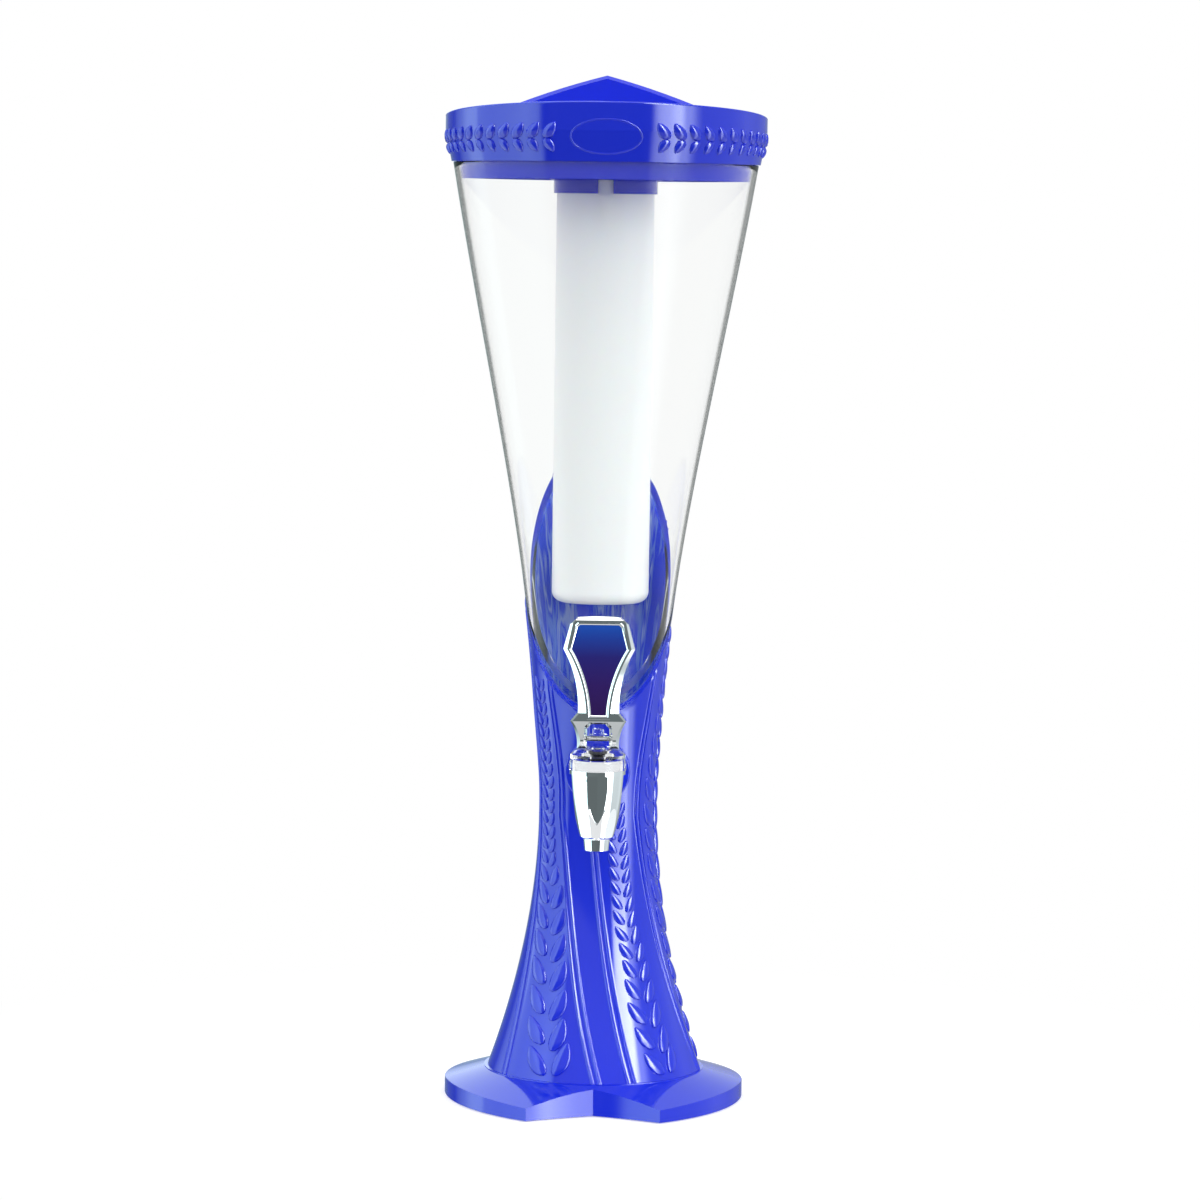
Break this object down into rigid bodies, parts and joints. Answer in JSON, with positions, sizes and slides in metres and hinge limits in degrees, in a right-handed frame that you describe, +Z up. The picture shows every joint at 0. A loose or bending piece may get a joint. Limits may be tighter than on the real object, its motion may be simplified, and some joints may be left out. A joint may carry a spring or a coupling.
{
  "type": "beer tower dispenser",
  "caption": "Tabletop drink tower: a clear flared tank nested in a twisted column, lid with an ice tube, and a chrome front tap",
  "frame": {"origin": "middle of the surface that the tower stands on, on the axis of the column", "axes": "+Z up, the tap faces -Y, +X to the right of someone who faces the tap"},
  "size_m": [0.1974, 0.1974, 0.6321],
  "materials": {
    "body_plastic": "glossy royal blue",
    "cover_plastic": "matte blue",
    "pad_rubber": "matte black",
    "screw_steel": "bright stainless",
    "tank_plastic": "clear, with grey-green edges",
    "tube_plastic": "frosted white",
    "seal_rubber": "translucent silicone",
    "tap_chrome": "bright chrome",
    "nut_plastic": "white nylon",
    "bonnet_plastic": "clear",
    "panel_plastic": "glossy, blue above and dark violet below"
  },
  "bodies": {
    "tower": {"foot": "body_plastic", "foot_cover": "cover_plastic", "foot_pads": "pad_rubber", "cover_screws": "screw_steel", "column": "body_plastic", "column_screws": "screw_steel", "tank": "tank_plastic", "tap_body": "tap_chrome", "outer_washer": "seal_rubber", "inner_washer": "seal_rubber", "shank_nut": "nut_plastic", "tap_bonnet": "bonnet_plastic", "stem_ring": "seal_rubber"},
    "lid_part": {"lid": "body_plastic", "tube_gasket": "seal_rubber"},
    "tube_part": {"ice_tube": "tube_plastic"},
    "stem_part": {"stem": "bonnet_plastic", "stem_seal": "seal_rubber", "stem_spring": "screw_steel", "handle_pin": "screw_steel"},
    "handle_part": {"tap_handle": "tap_chrome", "handle_panel": "panel_plastic"}
  },
  "joints": [
    {"name": "lid_lift", "type": "slide", "parent": "tower", "child": "lid_part", "axis": [0, 0, 1], "range_m": [0, 0.3]},
    {"name": "tube_twist", "type": "hinge", "parent": "lid_part", "child": "tube_part", "pos_m": [0, 0, 0.58], "axis": [0, 0, 1], "range_deg": [0, 38]},
    {"name": "stem_lift", "type": "slide", "parent": "tower", "child": "stem_part", "axis": [0, 0, 1], "range_m": [0, 0.0022], "stiffness_N_per_m": 1200, "springref_m": -0.01, "deforming": ["stem_spring"]},
    {"name": "handle_tilt", "type": "hinge", "parent": "stem_part", "child": "handle_part", "pos_m": [0, -0.074, 0.2319], "axis": [1, 0, 0], "range_deg": [0, 45]}
  ],
  "couplings": [
    {"joint": "handle_tilt", "follows": "stem_lift", "rad_per_m": 356.99}
  ]
}
